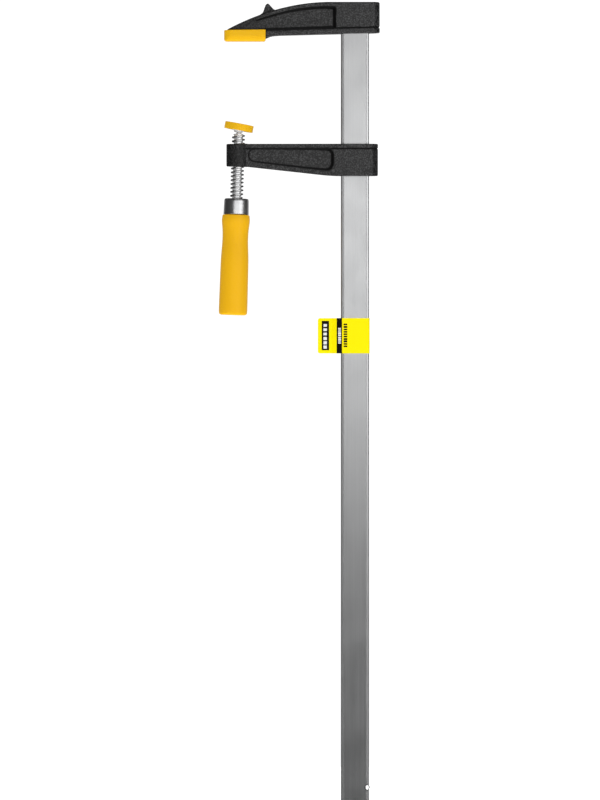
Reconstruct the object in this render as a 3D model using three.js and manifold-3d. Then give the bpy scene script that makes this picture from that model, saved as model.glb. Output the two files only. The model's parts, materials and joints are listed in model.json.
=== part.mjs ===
// F clamp for carpentry: a flat steel bar, a fixed jaw at its top, and a sliding arm that carries the
// clamping screw with its swivel pad and handle. A label tag is wrapped round the bar.
//
// Millimetres. +Z runs up the bar, +X points from the screw to the bar, +Y across the bar's thickness.
// The origin is on the fixed jaw's clamping face, opposite the screw.

import * as THREE from 'three';
import { mergeVertices } from 'three/addons/utils/BufferGeometryUtils.js';
import Module from 'manifold-3d';

const wasm = await Module();
wasm.setup();

// ---------------------------------------------------------------- driving dimensions

const GAP = 0.3; // clearance between pieces that touch or slide

const THROAT_DEPTH = 116.1; // screw centre line at the fixed jaw to the bar's inner edge
const BAR_WIDTH = 32.6;
const BAR_THICKNESS = 8;
const BAR_CORNER = 2.5;
const BAR_TOP = 44.6;
const BAR_BOTTOM = -884;
const BAR_X = THROAT_DEPTH + BAR_WIDTH / 2; // the bar's centre line
const STOP_PIN = { x: THROAT_DEPTH + BAR_WIDTH - 2.1, z: -862, radius: 2.9, proud: 1.3 };

const JAW_TOP = 45.3; // fixed jaw: crest of its back
const JAW_CREST_X = 104; // its back curves down from here to the nose
const JAW_FALL = 0.00223; // drop of the back per square millimetre
const JAW_NOSE_X = -16.2;
const JAW_END_X = 161;
const JAW_PAD_Z = 3.3; // underside of the cast pad, inside the cap
const JAW_RIM = 4.6; // rim above the recessed panel
const WEB = 5; // half thickness of both castings behind their recessed panels

const CAP = { left: -18.8, right: 29.2, top: 12.8, topRise: 0.5, halfWidth: 14.6, nose: 10 };
const PAD_BLOCK = { halfWidth: 12.2, nose: 8 }; // the cast pad that the cap is pushed over

const ARM_TOP = -118.6; // sliding arm
const ARM_END_X = 159;
const ARM_DEEP = -155.6; // underside at the bar
const ARM_RIM = 4.8;
const BOSS = { x: -3.6, radius: 12.6, bottom: -144.6 };
const BORE_RADIUS = 7.9; // clearance bore that stands for the tapped thread

const BALL_CENTRE = new THREE.Vector3(-1.86, 0, -100); // screw and pad turn about this point
const SCREW_LEAN = THREE.MathUtils.degToRad(1.8);
const PAD_TILT = THREE.MathUtils.degToRad(10.6);
const BALL_RADIUS = 3.5;
const NECK_RADIUS = 2.5;
const THREAD = { crest: 7.6, root: 5.3, pitch: 4.5, top: -6.9, bottom: -84 };
const SHANK_RADIUS = 4.7;
const TANG = { width: 8, thickness: 5, top: -104, bottom: -166 };

const FERRULE = { top: -81.6, bottom: -100.2, topRadius: 13.7, radius: 14.4, wall: 1.3 };
const HANDLE_BOTTOM = -216.4;
const HANDLE_SPIGOT = 11.9; // the neck of the handle inside the ferrule

const PAD_RADIUS = 14.2; // steel swivel pad
const PAD_CAP = { radius: 16.65, bottom: -2.85, top: 5.05 };

const TAG = { left: 89.5, top: -319.9, bottom: -360.6, sheet: 0.5, corner: 2.4 };

// ---------------------------------------------------------------- geometry tools

// Turns a closed three.js geometry into a solid that can be cut and joined.
function solid(geometry) {
  const bare = geometry.index ? geometry.toNonIndexed() : geometry.clone();
  bare.deleteAttribute('normal');
  bare.deleteAttribute('uv');
  const merged = mergeVertices(bare, 1e-4);
  const mesh = new wasm.Mesh({
    numProp: 3,
    vertProperties: new Float32Array(merged.attributes.position.array),
    triVerts: new Uint32Array(merged.index.array),
  });
  return new wasm.Manifold(mesh);
}

function geometryOf(body) {
  const mesh = body.getMesh();
  const geometry = new THREE.BufferGeometry();
  geometry.setAttribute('position', new THREE.BufferAttribute(mesh.vertProperties, 3));
  geometry.setIndex(new THREE.BufferAttribute(mesh.triVerts, 1));
  return geometry;
}

// A closed outline through the corners, each rounded by its own radius: corners are [x, y, radius].
function outline(corners, steps = 4) {
  const points = [];
  corners.forEach(([x, y, radius = 0], i) => {
    const here = new THREE.Vector2(x, y);
    if (radius === 0) {
      points.push(here);
      return;
    }
    const [px, py] = corners[(i + corners.length - 1) % corners.length];
    const [nx, ny] = corners[(i + 1) % corners.length];
    const start = here.clone().add(new THREE.Vector2(px - x, py - y).setLength(radius));
    const end = here.clone().add(new THREE.Vector2(nx - x, ny - y).setLength(radius));
    points.push(...new THREE.QuadraticBezierCurve(start, here, end).getPoints(steps));
  });
  return new THREE.Shape(points);
}

// A side view outline (x, z), as thick as 2 * halfWidth across the clamp.
function sideSlab(shape, halfWidth) {
  const geometry = new THREE.ExtrudeGeometry(shape, { depth: 2 * halfWidth, bevelEnabled: false });
  geometry.translate(0, 0, -halfWidth);
  geometry.rotateX(Math.PI / 2);
  return solid(geometry);
}

// A plan view outline (x, y), from height bottom to height top.
function planSlab(shape, bottom, top) {
  const geometry = new THREE.ExtrudeGeometry(shape, { depth: top - bottom, bevelEnabled: false });
  geometry.translate(0, 0, bottom);
  return solid(geometry);
}

// A turned piece about the Z axis. The profile's [radius, height] points run up the outside.
function turned(profile, segments = 28) {
  const points = profile.map(([radius, height]) => new THREE.Vector2(radius, height));
  const geometry = new THREE.LatheGeometry(points, segments);
  geometry.rotateX(Math.PI / 2);
  return solid(geometry);
}

function rod(radius, bottom, top, segments = 24) {
  return turned([[0, bottom], [radius, bottom], [radius, top], [0, top]], segments);
}

function block(width, depth, bottom, top) {
  const geometry = new THREE.BoxGeometry(width, depth, top - bottom);
  geometry.translate(0, 0, (bottom + top) / 2);
  return solid(geometry);
}

function barOutline(grow) {
  const w = BAR_WIDTH / 2 + grow;
  const t = BAR_THICKNESS / 2 + grow;
  const r = BAR_CORNER + grow;
  return outline([
    [BAR_X - w, -t, r],
    [BAR_X + w, -t, r],
    [BAR_X + w, t, r],
    [BAR_X - w, t, r],
  ]);
}

// Moves a solid from the screw's own frame (ball centre at 0, axis up) into the clamp's frame.
function alongScrew(body) {
  const lean = new THREE.Matrix4().makeRotationY(SCREW_LEAN).setPosition(BALL_CENTRE);
  return body.transform(lean.elements);
}

// ---------------------------------------------------------------- bar and fixed jaw

function makeBar() {
  const pinHole = rod(STOP_PIN.radius + GAP, -BAR_THICKNESS, BAR_THICKNESS)
    .rotate([90, 0, 0])
    .translate([STOP_PIN.x, 0, STOP_PIN.z]);
  return planSlab(barOutline(0), BAR_BOTTOM, BAR_TOP).subtract(pinHole);
}

function makeStopPin() {
  const end = BAR_THICKNESS / 2 + STOP_PIN.proud;
  const r = STOP_PIN.radius;
  const half = [[r, 0], [r, end - 0.8], [r - 0.9, end - 0.2], [0, end]];
  const lower = half.map(([radius, height]) => [radius, -height]).reverse().slice(0, 3);
  return turned([...lower, ...half], 20).rotate([90, 0, 0]).translate([STOP_PIN.x, 0, STOP_PIN.z]);
}

function jawBack(x) {
  return x >= JAW_CREST_X ? JAW_TOP : JAW_TOP - JAW_FALL * (JAW_CREST_X - x) ** 2;
}

// Points along the jaw's curved back from x = from down to x = to, lowered by drop.
function backCurve(from, to, drop, steps) {
  return Array.from({ length: steps + 1 }, (_, i) => {
    const x = from + ((to - from) * i) / steps;
    return [x, jawBack(x) - drop];
  });
}

function makeFixedJaw() {
  const underside = [[JAW_NOSE_X, JAW_PAD_Z], [29.6, JAW_PAD_Z], [35, 5.9], [44, 6.8], [104, 8.3]];
  const side = outline([
    ...underside,
    [JAW_END_X, 9.7],
    [JAW_END_X, JAW_TOP],
    ...backCurve(JAW_CREST_X, JAW_NOSE_X, 0, 12),
  ]);
  const plan = outline([
    [JAW_NOSE_X, -8, 6],
    [30, -8.5],
    [112, -12],
    [JAW_END_X, -12, 6.5],
    [JAW_END_X, 12, 6.5],
    [112, 12],
    [30, 8.5],
    [JAW_NOSE_X, 8, 6],
  ]);
  const flangeSide = outline([
    ...underside.slice(1),
    [JAW_END_X, 9.7],
    [JAW_END_X, 15.5],
    [110.5, 14.2],
    [29.6, 12.3],
  ]);
  const flangePlan = outline([
    [29.6, -12.4],
    [112, -13.2],
    [JAW_END_X, -13.2, 7],
    [JAW_END_X, 13.2, 7],
    [112, 13.2],
    [29.6, 12.4],
  ]);
  const pad = planSlab(
    outline([
      [JAW_NOSE_X, -PAD_BLOCK.halfWidth, PAD_BLOCK.nose],
      [29.6, -PAD_BLOCK.halfWidth],
      [29.6, PAD_BLOCK.halfWidth],
      [JAW_NOSE_X, PAD_BLOCK.halfWidth, PAD_BLOCK.nose],
    ]),
    JAW_PAD_Z,
    11,
  );
  const horn = outline([
    [20, 26],
    [24.3, jawBack(24.3)],
    [26.2, 33.5],
    [27.8, 38.6],
    [29.3, 42.2, 1.2],
    [31.9, 44, 1.8],
    [36.4, 39.2, 1.2],
    [39, jawBack(39)],
    [42, 30],
  ]);
  const panel = outline([
    [13, 12.7],
    [110.5, 14.5, 2.5],
    [110.5, jawBack(110.5) - JAW_RIM - 0.6, 4],
    ...backCurve(96, 16, JAW_RIM, 8),
  ]);
  const body = sideSlab(side, 20)
    .intersect(planSlab(plan, 0, 60))
    .add(sideSlab(flangeSide, 20).intersect(planSlab(flangePlan, 0, 60)))
    .add(pad)
    .add(sideSlab(horn, 5));
  const outsideWeb = sideSlab(panel, 20).subtract(sideSlab(panel, WEB));
  return body.subtract(outsideWeb).subtract(planSlab(barOutline(GAP), -5, 60));
}

function makeFixedJawCap() {
  const side = outline([
    [CAP.left, 0, 2.2],
    [CAP.right - 1.3, 0, 0.8],
    [CAP.right, 1.6],
    [CAP.right, CAP.top + CAP.topRise],
    [CAP.left, CAP.top],
  ]);
  const plan = outline([
    [CAP.left, -CAP.halfWidth, CAP.nose],
    [CAP.right, -CAP.halfWidth, 1.2],
    [CAP.right, CAP.halfWidth, 1.2],
    [CAP.left, CAP.halfWidth, CAP.nose],
  ], 6);
  const inside = PAD_BLOCK.halfWidth + GAP;
  const pocket = outline([
    [JAW_NOSE_X - GAP, -inside, PAD_BLOCK.nose],
    [CAP.right + 5, -inside],
    [CAP.right + 5, inside],
    [JAW_NOSE_X - GAP, inside, PAD_BLOCK.nose],
  ]);
  return sideSlab(side, 20)
    .intersect(planSlab(plan, -5, 30))
    .subtract(planSlab(pocket, JAW_PAD_Z - GAP, 30));
}

// ---------------------------------------------------------------- sliding arm

function armPlan(grow) {
  const narrow = 7.2 + grow;
  const wide = 11.5 + grow;
  return outline([
    [BOSS.x, -narrow],
    [70, -narrow - 1.2],
    [112, -wide],
    [ARM_END_X, -wide, 6],
    [ARM_END_X, wide, 6],
    [112, wide],
    [70, narrow + 1.2],
    [BOSS.x, narrow],
  ]);
}

function makeSlidingArm() {
  const side = outline([
    [BOSS.x, BOSS.bottom],
    [6, BOSS.bottom - 0.2],
    [99.5, ARM_DEEP + 0.6, 6],
    [112, ARM_DEEP],
    [ARM_END_X, ARM_DEEP],
    [ARM_END_X, ARM_TOP],
    [BOSS.x, ARM_TOP],
  ]);
  const panel = outline([
    [9.8, ARM_TOP - ARM_RIM, 7.5],
    [9.8, -138.9, 7.5],
    [107.9, -151, 12],
    [107.9, ARM_TOP - ARM_RIM, 9],
  ], 5);
  const body = sideSlab(side, 20)
    .intersect(planSlab(armPlan(0), -170, -100))
    .add(planSlab(armPlan(1), ARM_TOP - ARM_RIM, ARM_TOP))
    .add(rod(BOSS.radius, BOSS.bottom, ARM_TOP, 36).translate([BOSS.x, 0, 0]));
  const outsideWeb = sideSlab(panel, 20).subtract(sideSlab(panel, WEB));
  return body
    .subtract(outsideWeb)
    .subtract(planSlab(barOutline(GAP), -170, -100))
    .subtract(alongScrew(rod(BORE_RADIUS, -60, 0, 28)));
}

// ---------------------------------------------------------------- screw, ferrule and handle

// One right-hand thread ridge round a core. Each turn has four rows of points: two on the root and two on
// the crest. A row climbs one pitch per turn and runs on into the row four above it.
function threadedRod({ crest, root, pitch, top, bottom }, segments = 18) {
  const rows = [
    { radius: root, height: 0 },
    { radius: root, height: 0.36 },
    { radius: crest, height: 0.58 },
    { radius: crest, height: 0.78 },
  ];
  const turns = Math.floor((top - bottom) / pitch) - 1;
  const rowCount = turns * rows.length;
  const positions = [];
  const index = new Map();
  const vertex = (row, step) => {
    const k = step === segments ? row + rows.length : row;
    const i = step % segments;
    const key = k * segments + i;
    if (!index.has(key)) {
      const { radius, height } = rows[k % rows.length];
      const angle = (2 * Math.PI * i) / segments;
      const z = bottom + pitch * (Math.floor(k / rows.length) + height + i / segments);
      index.set(key, positions.length / 3);
      positions.push(radius * Math.cos(angle), radius * Math.sin(angle), z);
    }
    return index.get(key);
  };
  const triangles = [];
  for (let row = 0; row < rowCount; row += 1) {
    for (let step = 0; step < segments; step += 1) {
      const [a, b] = [vertex(row, step), vertex(row, step + 1)];
      const [c, d] = [vertex(row + 1, step + 1), vertex(row + 1, step)];
      triangles.push(a, b, c, a, c, d);
    }
  }
  // each end is a fan from a point on the axis to the rim that the first or last turn leaves
  const rim = (row) => {
    const loop = Array.from({ length: segments }, (_, step) => vertex(row, step));
    const stair = Array.from({ length: rows.length }, (_, k) => vertex(row + rows.length - k, 0));
    return [...loop, ...stair];
  };
  const fan = (loop, z, flip) => {
    const centre = positions.length / 3;
    positions.push(0, 0, z);
    loop.forEach((a, i) => {
      const b = loop[(i + 1) % loop.length];
      triangles.push(centre, flip ? b : a, flip ? a : b);
    });
  };
  fan(rim(0), bottom, true);
  fan(rim(rowCount), top, false);
  const geometry = new THREE.BufferGeometry();
  geometry.setAttribute('position', new THREE.Float32BufferAttribute(positions, 3));
  geometry.setIndex(triangles);
  return solid(geometry);
}

function makeSpindle() {
  const ball = solid(new THREE.SphereGeometry(BALL_RADIUS, 20, 14));
  const shoulder = [
    [0, THREAD.top - 3],
    [THREAD.root, THREAD.top - 3],
    [THREAD.root, THREAD.top - 0.2],
    [NECK_RADIUS + 0.1, THREAD.top + 0.6],
    [0, THREAD.top + 0.6],
  ];
  return ball
    .add(rod(NECK_RADIUS, THREAD.top - 1, -2))
    .add(turned(shoulder))
    .add(threadedRod(THREAD))
    .add(rod(SHANK_RADIUS, TANG.top, THREAD.bottom + 2))
    .add(block(TANG.width, TANG.thickness, TANG.bottom, TANG.top + 1));
}

// A steel cup over the end of the handle, open for the screw at its top.
function makeFerrule() {
  const { top, bottom, topRadius, radius, wall } = FERRULE;
  const hole = THREAD.crest + 0.6;
  const outside = [[hole, top], [10.2, top], [12.6, top - 1], [topRadius, top - 3]].reverse();
  return turned([
    [radius - wall, bottom],
    [radius, bottom],
    [radius - 0.1, bottom + 8],
    ...outside,
    [hole, top - wall],
    [topRadius - wall - 0.6, top - wall - 2],
    [radius - wall, bottom + 8],
    [radius - wall, bottom],
  ]);
}

// The grip: a collar under the ferrule, a waist for the thumb, and a slightly barrelled body.
function makeHandle() {
  const top = FERRULE.bottom - GAP;
  const spigotTop = FERRULE.top - FERRULE.wall - 3;
  const grip = [
    [0, HANDLE_BOTTOM],
    [14.9, HANDLE_BOTTOM],
    [16.2, HANDLE_BOTTOM + 0.9],
    [16.5, HANDLE_BOTTOM + 4],
    [16.5, HANDLE_BOTTOM + 11],
    [16.3, HANDLE_BOTTOM + 36],
    [16.15, HANDLE_BOTTOM + 54],
    [16, HANDLE_BOTTOM + 64],
    [15.6, HANDLE_BOTTOM + 73],
    [15.2, HANDLE_BOTTOM + 79],
    [14.9, HANDLE_BOTTOM + 84],
    [15.2, HANDLE_BOTTOM + 98],
    [16.1, HANDLE_BOTTOM + 106],
    [16.2, HANDLE_BOTTOM + 109],
    [15.4, top - 0.8],
    [14.6, top],
    [HANDLE_SPIGOT, top],
    [HANDLE_SPIGOT, spigotTop - 1],
    [HANDLE_SPIGOT - 1, spigotTop],
    [0, spigotTop],
  ];
  const shankHole = rod(THREAD.crest + 0.5, THREAD.bottom - 1, 0)
    .add(rod(SHANK_RADIUS + GAP, TANG.top - GAP, 0));
  const tangHole = block(
    TANG.width + 2 * GAP,
    TANG.thickness + 2 * GAP,
    TANG.bottom - GAP,
    TANG.top + 1,
  );
  return turned(grip, 32).subtract(shankHole).subtract(tangHole);
}

// ---------------------------------------------------------------- swivel pad

// The washer under the ball, which keeps the ball in its socket and doesn't turn with the screw.
function makeRetainingRing() {
  return turned([[2.8, -3.2], [3.8, -3.2], [3.8, -2.5], [2.8, -2.5], [2.8, -3.2]], 24);
}

// A steel disc with a closed socket round the ball, flared below the disc and narrowed at its mouth.
function makeSwivelPad() {
  return turned([
    [3.6, -5.6],
    [4.5, -5.6],
    [4.8, -5.1],
    [5.3, -4.1],
    [6.4, -2.9],
    [8.2, -2.05],
    [PAD_RADIUS, -2.05],
    [PAD_RADIUS, 0.35],
    [5.3, 0.35],
    [5.3, 4.1],
    [0, 4.1],
    [0, 3.65],
    [3.9, 3.65],
    [4.5, -4.3],
    [3.6, -4.8],
    [3.6, -5.6],
  ]);
}

// A plastic cup snapped over the steel disc, with a lip under the disc's edge.
function makeSwivelPadCap() {
  const { radius, bottom, top } = PAD_CAP;
  return turned([
    [13.4, bottom],
    [radius - 0.4, bottom],
    [radius, bottom + 0.4],
    [radius, top - 0.5],
    [radius - 0.5, top],
    [0, top],
    [0, 4.3],
    [5.6, 4.3],
    [5.6, 0.65],
    [PAD_RADIUS + GAP, 0.65],
    [PAD_RADIUS + GAP, -2.35],
    [13.4, -2.35],
    [13.4, bottom],
  ], 32);
}

// ---------------------------------------------------------------- label tag

// A stiff printed sheet wrapped round the bar, its two ends joined as a flap beside the bar.
function makeLabelTag() {
  const { left, top, bottom, sheet, corner } = TAG;
  const t = BAR_THICKNESS / 2 + GAP;
  const right = THROAT_DEPTH + BAR_WIDTH + GAP;
  const outer = outline([
    [left, -sheet],
    [105, -sheet],
    [114, -t - sheet, 2],
    [right + sheet, -t - sheet, BAR_CORNER + sheet],
    [right + sheet, t + sheet, BAR_CORNER + sheet],
    [114, t + sheet, 2],
    [105, sheet],
    [left, sheet],
  ]);
  const inner = outline([
    [106.2, 0],
    [114.2, -t, 2],
    [right, -t, BAR_CORNER],
    [right, t, BAR_CORNER],
    [114.2, t, 2],
  ]);
  const front = outline([
    [left, bottom, corner],
    [right + 5, bottom],
    [right + 5, top],
    [left, top, corner],
  ]);
  return planSlab(outer, bottom, top)
    .subtract(planSlab(inner, bottom - 1, top + 1))
    .intersect(sideSlab(front, 20));
}

// ---------------------------------------------------------------- assembly

function finish(color, roughness, metalness) {
  return new THREE.MeshStandardMaterial({ color, roughness, metalness });
}

function piece(name, body, material) {
  const mesh = new THREE.Mesh(geometryOf(body), material);
  mesh.name = name;
  return mesh;
}

const clamp = new THREE.Group();
clamp.add(
  piece('bar', makeBar(), finish(0xb9bbbd, 0.4, 1)),
  piece('bar_stop_pin', makeStopPin(), finish(0xe4e6e8, 0.2, 1)),
  piece('fixed_jaw', makeFixedJaw(), finish(0x26272a, 0.65, 0)),
  piece('fixed_jaw_cap', makeFixedJawCap(), finish(0xf3b31c, 0.45, 0)),
  piece('sliding_arm', makeSlidingArm(), finish(0x26272a, 0.65, 0)),
  piece('label_tag', makeLabelTag(), finish(0xfbe90a, 0.5, 0)),
);

const screwLine = new THREE.Group();
screwLine.position.copy(BALL_CENTRE);
screwLine.rotation.y = SCREW_LEAN;
screwLine.add(
  piece('spindle', makeSpindle(), finish(0xd4d6d8, 0.25, 1)),
  piece('ferrule', makeFerrule(), finish(0xcfd1d4, 0.15, 1)),
  piece('handle', makeHandle(), finish(0xf2ad18, 0.35, 0)),
  piece('pad_retaining_ring', makeRetainingRing(), finish(0xa8aaad, 0.4, 1)),
);
clamp.add(screwLine);

const padLine = new THREE.Group();
padLine.position.copy(BALL_CENTRE);
padLine.rotation.y = PAD_TILT;
padLine.add(
  piece('swivel_pad', makeSwivelPad(), finish(0xc9cbce, 0.3, 1)),
  piece('swivel_pad_cap', makeSwivelPadCap(), finish(0xf3b31c, 0.45, 0)),
);
clamp.add(padLine);

export default clamp;
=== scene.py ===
"""An F clamp in its finished look: detailed pieces, materials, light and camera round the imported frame.

Lengths are in millimetres until a mesh is made, and every place is in the frame's own coordinates:
Z runs up the bar, X from the screw to the bar, Y across the bar's thickness.
"""

import json
import math

import bpy
import numpy as np
from mathutils import Matrix, Vector


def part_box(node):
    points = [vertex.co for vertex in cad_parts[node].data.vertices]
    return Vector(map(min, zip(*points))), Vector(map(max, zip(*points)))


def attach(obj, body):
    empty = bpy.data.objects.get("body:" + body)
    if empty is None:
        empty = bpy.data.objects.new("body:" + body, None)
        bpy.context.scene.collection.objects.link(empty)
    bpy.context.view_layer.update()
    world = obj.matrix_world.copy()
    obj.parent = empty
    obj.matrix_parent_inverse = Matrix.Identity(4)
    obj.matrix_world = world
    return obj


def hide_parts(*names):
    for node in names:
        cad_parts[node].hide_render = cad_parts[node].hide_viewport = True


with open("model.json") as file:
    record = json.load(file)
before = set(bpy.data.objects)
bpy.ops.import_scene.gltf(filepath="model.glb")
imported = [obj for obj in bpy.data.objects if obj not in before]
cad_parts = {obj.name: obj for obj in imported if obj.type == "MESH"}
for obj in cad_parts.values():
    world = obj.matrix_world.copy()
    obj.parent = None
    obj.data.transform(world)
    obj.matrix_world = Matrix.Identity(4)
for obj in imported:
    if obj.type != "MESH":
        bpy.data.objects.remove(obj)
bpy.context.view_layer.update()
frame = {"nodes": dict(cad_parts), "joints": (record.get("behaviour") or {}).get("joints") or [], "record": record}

MM = 0.001
RECORD = frame["record"]


def box_mm(node):
    """A CAD node's lowest and highest corners, in millimetres."""
    low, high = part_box(node)
    return np.array(low) / MM, np.array(high) / MM


def joint(name):
    """The frame's joint of that name."""
    return next(j for j in frame["joints"] if j["name"] == name)


# ---------------------------------------------------------------- dimensions

BAR_LOW, BAR_HIGH = box_mm("bar")
BAR_MID_X = (BAR_LOW[0] + BAR_HIGH[0]) / 2
BAR_HALF_WIDTH = (BAR_HIGH[0] - BAR_LOW[0]) / 2
BAR_HALF_THICK = (BAR_HIGH[1] - BAR_LOW[1]) / 2
BAR_CORNER = 2.5
CLEARANCE = 0.3

PIN_LOW, PIN_HIGH = box_mm("bar_stop_pin")
PIN_CENTRE = (PIN_LOW + PIN_HIGH) / 2
PIN_RADIUS = (PIN_HIGH[0] - PIN_LOW[0]) / 2
PIN_FIT = 0.04  # the hole is this much wider all round, almost a press fit
HOLE_SIDES = 48
HOLE_REACH = 20  # the hole's cutter runs this far out from the bar's middle
PIN_HEAD = (2.6, 3.8)  # half width and half height of its peened oval heads
PIN_RIM = 0.95  # sloping rim of the heads, painted dark as shade
HEAD_GAP = 0.08  # the heads stand this far off the bar's faces

JAW_LOW, JAW_HIGH = box_mm("fixed_jaw")
JAW_CREST_X = 104
JAW_FALL = 0.00223  # drop of the jaw's curved back per square millimetre
JAW_RIM = 4.6  # rim above the recessed panel
WEB = 5  # half thickness of both castings behind their recessed panels
DRAFT = 0.42  # how far a recess's wall leans out per millimetre of depth

CAP_LOW, CAP_HIGH = box_mm("fixed_jaw_cap")
CAP_RISE = 0.5  # the cap's top edge climbs this much towards the bar
CAP_INSET = 2.6  # the cap's long sides are drawn in by this much at their foot
CAP_SLOPE = 0.5  # and lean out again by so much per millimetre of height

ARM_LOW, ARM_HIGH = box_mm("sliding_arm")
ARM_RIM = 4.8
BOSS_RADIUS = (ARM_HIGH[1] - ARM_LOW[1]) / 2
BOSS_X = ARM_LOW[0] + BOSS_RADIUS
BOSS_BOTTOM = -144.6
BORE_RADIUS = 7.9

BALL_CENTRE = np.array(joint("screw_turn")["pos_m"]) / MM
SCREW_AXIS = np.array(joint("screw_turn")["axis"])
PAD_MOUNT = next(m for m in RECORD["mounts"] if m["name"] == "swivel_pad_face")
PAD_AXIS = np.array(PAD_MOUNT["axis"])

FINE_SIDES = 128  # flat sides round the ferrule, the handle and the pad's cap
DISC_SIDES = 96
PIN_SIDES = 64
BALL_RADIUS = 3.5
NECK_RADIUS = 2.5
THREAD_CREST = 7.65
THREAD_ROOT = 5.3
THREAD_PITCH = 4.5
THREAD_START = 0.62  # share of a pitch that the ridge starts ahead of the ball's centre
SHOULDER_TOP = -6.3
THREAD_TOP = -6.9
THREAD_BOTTOM = -84
SHANK_RADIUS = 4.7
TANG_TOP = -104
TANG_BOTTOM = -166
TANG_HALF = (4, 2.5)
SPINDLE_SIDES = 96
THREAD_RINGS = 30  # rings of points along one pitch

FERRULE_TOP = -81.6
FERRULE_BOTTOM = -100.2
HANDLE_BOTTOM = -216.4

TAG_LOW, TAG_HIGH = box_mm("label_tag")

# ---------------------------------------------------------------- outlines and distance fields


def outline(corners, steps=8):
    """A closed outline through the corners (x, y, rounding).

    A corner's rounding, where it has one, is how far before and after the corner its curve runs.
    """
    points = []
    for i, corner in enumerate(corners):
        here = np.array(corner[:2], float)
        radius = corner[2] if len(corner) > 2 else 0
        if not radius:
            points.append(here)
            continue
        before = np.array(corners[i - 1][:2], float) - here
        after = np.array(corners[(i + 1) % len(corners)][:2], float) - here
        start = here + before / np.linalg.norm(before) * radius
        end = here + after / np.linalg.norm(after) * radius
        for t in np.linspace(0, 1, steps + 1):
            points.append((1 - t) ** 2 * start + 2 * t * (1 - t) * here + t**2 * end)
    return np.array(points)


def outline_distance(points, u, v):
    """Signed distance from the places (u, v) to a closed outline, negative inside."""
    shape = np.broadcast(u, v).shape
    nearest = np.full(shape, 1e12)
    inside = np.zeros(shape, bool)
    for (ax, ay), (bx, by) in zip(points, np.roll(points, -1, axis=0), strict=True):
        ex, ey = bx - ax, by - ay
        along = np.clip(((u - ax) * ex + (v - ay) * ey) / (ex * ex + ey * ey + 1e-12), 0, 1)
        nearest = np.minimum(nearest, (u - ax - ex * along) ** 2 + (v - ay - ey * along) ** 2)
        if ay != by:
            inside ^= ((ay > v) != (by > v)) & (u < ex * (v - ay) / ey + ax)
    return np.where(inside, -1, 1) * np.sqrt(nearest)


def meet(a, b, radius):
    """What is inside both fields, with its new edges rounded."""
    a, b = a + radius, b + radius
    return np.minimum(np.maximum(a, b), 0) + np.hypot(np.maximum(a, 0), np.maximum(b, 0)) - radius


def join(a, b, radius):
    """What is inside either field, with a fillet in the new corners."""
    return -meet(-a, -b, radius)


def cut(a, b, radius):
    """What is inside a and outside b, with its new edges rounded."""
    return meet(a, -b, radius)


def bar_slot(x, y):
    """Distance to the slot that the bar runs in."""
    w, t = BAR_HALF_WIDTH + CLEARANCE, BAR_HALF_THICK + CLEARANCE
    r = BAR_CORNER
    dx, dy = np.abs(x - BAR_MID_X) - w + r, np.abs(y) - t + r
    return np.minimum(np.maximum(dx, dy), 0) + np.hypot(np.maximum(dx, 0), np.maximum(dy, 0)) - r


# ---------------------------------------------------------------- mesh tools

CORNER_REACH = 2.2  # corners are looked for this far in front of a surface, for the painted shade in them
CASTING_STEP = 0.8  # width of the quads that the castings are made of
CAP_STEP = 0.6  # and of the jaw cap's


def make_object(name, mesh, body, slot, *replaced):
    """Adds a mesh to the scene as a piece that rides on a body, in place of CAD nodes."""
    piece = bpy.data.objects.new(name, mesh)
    bpy.context.scene.collection.objects.link(piece)
    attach(piece, body)
    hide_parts(*replaced)
    return piece


def axis_matrix(centre, axis):
    """Turns a mesh made about the Z axis so that Z lies along axis, at centre."""
    x = np.array([axis[2], 0, -axis[0]])
    x = x / np.linalg.norm(x)
    y = np.cross(axis, x)
    rows = [[x[i], y[i], axis[i], centre[i]] for i in range(3)]
    return Matrix([*rows, [0, 0, 0, 1]])


def gradient(field, points, reach=0.02):
    """The field's slope at the points, by central differences."""
    slope = np.zeros_like(points)
    for axis in range(3):
        shift = np.zeros(3)
        shift[axis] = reach
        slope[:, axis] = field(*(points + shift).T) - field(*(points - shift).T)
    return slope / (2 * reach)


def corner_values(values, offset):
    """The field at one corner of every grid cell."""
    window = tuple(slice(o, o + n - 1) for o, n in zip(offset, values.shape, strict=True))
    return values[window]


def cell_points(values):
    """For every cell that the surface crosses: its index, and where the surface lies in it."""
    cells = tuple(n - 1 for n in values.shape)
    total = np.zeros((*cells, 3))
    count = np.zeros(cells)
    for axis in range(3):
        for a in (0, 1):
            for b in (0, 1):
                start = [a, b]
                start.insert(axis, 0)
                end = list(start)
                end[axis] = 1
                low, high = corner_values(values, start), corner_values(values, end)
                crossed = (low < 0) != (high < 0)
                share = np.where(crossed, low / np.where(crossed, low - high, 1), 0)
                for k in range(3):
                    total[..., k] += crossed * (share if k == axis else start[k])
                count += crossed
    index = np.argwhere(count > 0)
    picked = tuple(index.T)
    return index, index + total[picked] / count[picked][:, None]


def cell_quads(values, index):
    """One quad round each grid edge that the surface crosses, facing out."""
    number = np.full(tuple(n - 1 for n in values.shape), -1)
    number[tuple(index.T)] = np.arange(len(index))
    inside = values < 0
    quads = []
    for axis in range(3):
        low = np.take(inside, range(values.shape[axis] - 1), axis)
        high = np.take(inside, range(1, values.shape[axis]), axis)
        edges = np.argwhere(low != high)
        others = [k for k in range(3) if k != axis]
        edges = edges[(edges[:, others] > 0).all(1)]
        leaving = low[tuple(edges.T)]
        ring = []
        for a, b in ((1, 1), (0, 1), (0, 0), (1, 0)):
            cell = edges.copy()
            cell[:, others[0]] -= a
            cell[:, others[1]] -= b
            ring.append(number[tuple(cell.T)])
        ring = np.stack(ring, axis=1)
        if axis == 1:
            leaving = ~leaving
        quads.append(np.where(leaving[:, None], ring, ring[:, ::-1]))
    return np.concatenate(quads)


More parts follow.
